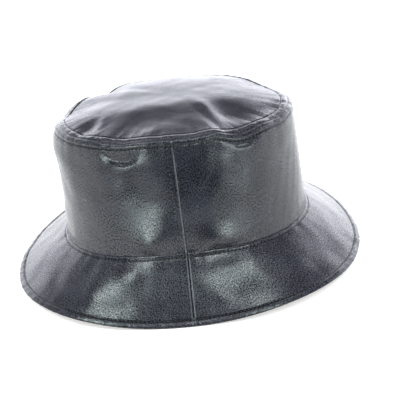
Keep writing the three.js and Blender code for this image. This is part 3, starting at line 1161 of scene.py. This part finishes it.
# %% [markdown]
# ## The floor
# The hat stands on a plain pale floor in a bright room. A plain white plane would turn grey in the
# shade of the hat, so a weak glow keeps it near white. It ends a short way in front of the hat, and
# lets the low lamps shine from just under its level.

# %% The pale floor
FLOOR_REACH = 4.0
FLOOR_FRONT = -0.27

floor_mesh = bpy.data.meshes.new("floor")
floor_corners = [
    (-FLOOR_REACH, FLOOR_FRONT, 0),
    (FLOOR_REACH, FLOOR_FRONT, 0),
    (FLOOR_REACH, FLOOR_REACH, 0),
    (-FLOOR_REACH, FLOOR_REACH, 0),
]
floor_mesh.from_pydata(floor_corners, [], [(0, 1, 2, 3)])
floor = add_object("floor", floor_mesh)
floor_paint, floor_tree = new_material("pale_floor_paint")
floor_shader = add_node(
    floor_tree,
    "ShaderNodeBsdfPrincipled",
    inputs={
        "Base Color": linear("#eeedeb"),
        "Roughness": 0.25,
        "Specular IOR Level": 0.5,
        "Emission Color": linear("#f6f3f0"),
        "Emission Strength": 0.6,
    },
)
add_node(floor_tree, "ShaderNodeOutputMaterial", inputs={"Surface": floor_shader.outputs[0]})
floor_mesh.materials.append(floor_paint)
print("the floor starts", -FLOOR_FRONT, "m in front of the hat's middle")

# %% [markdown]
# ## The bright room
# The cloth is dark, so what the eye sees is mostly reflection. A picture of a studio could be the
# world, but a few smooth steps are enough: a bright sweep behind the hat whitens every surface seen
# at a low angle, the front is dim, and a skylight tints the top. The camera sees plain white.

# %% The sky
# Each step rises from low to high between two places on one axis of the sky's direction.
Step = namedtuple("Step", "axis start end low high")
STEPS = {
    "sweep": Step("Y", -0.9, 0.6, 0.18, 3.0),
    "left": Step("X", -1.0, -0.6, 0.55, 1.0),
    "ceiling": Step("Z", 0.38, 0.58, 0.0, 1.0),
    "skylight": Step("Z", 0.7, 0.9, 0.4, 1.2),
}
SMOOTH = {"interpolation_type": "SMOOTHSTEP"}
SEEN_WHITE = 1.2

world = bpy.data.worlds.new("bright_room")
bpy.context.scene.world = world
world.use_nodes = True
sky = world.node_tree
sky.nodes.clear()
heading = add_node(sky, "ShaderNodeTexCoord").outputs["Generated"]
parts = add_node(sky, "ShaderNodeSeparateXYZ", inputs={0: heading}).outputs

steps = {}
for label, step in STEPS.items():
    ends = {"From Min": step.start, "From Max": step.end, "To Min": step.low, "To Max": step.high}
    ends["Value"] = parts[step.axis]
    steps[label] = add_node(sky, "ShaderNodeMapRange", SMOOTH, ends).outputs[0]
sides = {0: steps["sweep"], 1: steps["left"]}
sweep = add_node(sky, "ShaderNodeMath", MULTIPLY, sides).outputs[0]
levels = {0: steps["ceiling"], 2: sweep, 3: steps["skylight"]}
around = add_node(sky, "ShaderNodeMix", NUMBERS, levels).outputs[0]
is_seen = add_node(sky, "ShaderNodeLightPath").outputs["Is Camera Ray"]
strength = add_node(sky, "ShaderNodeMix", NUMBERS, {0: is_seen, 2: around, 3: SEEN_WHITE}).outputs[0]
light = {"Color": linear("#f3f5ff"), "Strength": strength}
glow = add_node(sky, "ShaderNodeBackground", inputs=light)
add_node(sky, "ShaderNodeOutputWorld", inputs={"Surface": glow.outputs[0]})
print("the room has", len(sky.nodes), "nodes")

# %% [markdown]
# ## Soft boxes
# Pale patches lie on the folds that face the viewer, each the mirror image of a lamp. Spot lamps
# would give small hard dots, so the lamps are upright boxes. Two low ones show in the crown's side,
# two high ones in the brim, and a faint one from behind opens the shade.

# %% The lamps
SoftBox = namedtuple("SoftBox", "name azimuth distance heights width radiance colour")
SOFT_BOXES = [
    SoftBox("low_box_left", -123, 1.3, (-0.14, 0.3), 0.36, 13.5, "#e4f2f0"),
    SoftBox("low_box_right", -45, 1.3, (-0.14, 0.3), 0.36, 12.5, "#e4f2f0"),
    SoftBox("high_box_left", -138, 1.3, (1.3, 2.9), 0.8, 11.5, "#e4f2f0"),
    SoftBox("high_box_right", -60, 1.3, (1.1, 2.9), 0.4, 13.0, "#e4f2f0"),
    SoftBox("soft_box_behind", 61, 1.3, (0.0, 0.9), 0.75, 1.4, "#f4f6ff"),
]
for box in SOFT_BOXES:
    lamp = bpy.data.lights.new(box.name, "AREA")
    lamp.shape = "RECTANGLE"
    lamp.size = box.width
    lamp.size_y = box.heights[1] - box.heights[0]
    lamp.energy = box.radiance * math.pi * lamp.size * lamp.size_y
    lamp.color = linear(box.colour)[:3]
    holder = add_object(box.name, lamp)
    turn = math.radians(box.azimuth)
    middle = sum(box.heights) / 2
    holder.location = (box.distance * math.cos(turn), box.distance * math.sin(turn), middle)
    holder.rotation_euler = (math.pi / 2, 0, turn + math.pi / 2)
    print(box.name, round(lamp.energy, 1), "W")

# %% [markdown]
# ## The camera
# The angle was found by fitting the seams and the outline of the hat. The camera stands about 0.8 m
# away, looks down by a little more than a quarter of a right angle and is rolled a little. A shift
# of the lens could move the picture, but other views would keep it, so the camera is aimed past the
# hat instead, and the hat sits left of and above the middle.

# %% Camera
PICTURE = 400
SENSOR = 36.0
VIEW = dict(distance=797.0, elevation=25.6, azimuth=7.0, roll=7.6, pixels_per_mm=1.23, aim_height=60.0)
HAT_AT = (182.06, 182.42)

elevation = math.radians(VIEW["elevation"])
azimuth = math.radians(VIEW["azimuth"])
roll = math.radians(VIEW["roll"])
level_reach = math.cos(elevation)
back_x = math.sin(azimuth) * level_reach
back_y = -math.cos(azimuth) * level_reach
back = Vector((back_x, back_y, math.sin(elevation)))
level_right = Vector((math.cos(azimuth), math.sin(azimuth), 0))
level_up = back.cross(level_right)
right = level_right * math.cos(roll) - level_up * math.sin(roll)
up = level_up * math.cos(roll) + level_right * math.sin(roll)
aim = Vector((hat_shift, 0, VIEW["aim_height"]))
eye = aim + back * VIEW["distance"]
off_right = (PICTURE / 2 - HAT_AT[0]) / VIEW["pixels_per_mm"]
off_down = (PICTURE / 2 - HAT_AT[1]) / VIEW["pixels_per_mm"]
centre = aim + right * off_right - up * off_down
look_back = (eye - centre).normalized()
camera_right = up.cross(look_back).normalized()
camera_up = look_back.cross(camera_right)

lens = bpy.data.cameras.new("camera")
lens.sensor_width = SENSOR
lens.lens = VIEW["pixels_per_mm"] * VIEW["distance"] / PICTURE * SENSOR
lens.clip_start = 0.05
camera = add_object("camera", lens)
turned = Matrix((camera_right, camera_up, look_back)).transposed().to_4x4()
camera.matrix_world = Matrix.Translation(eye * MM) @ turned
bpy.context.scene.camera = camera
bpy.context.scene.view_settings.view_transform = "Standard"
print("lens", round(lens.lens, 1), "mm")
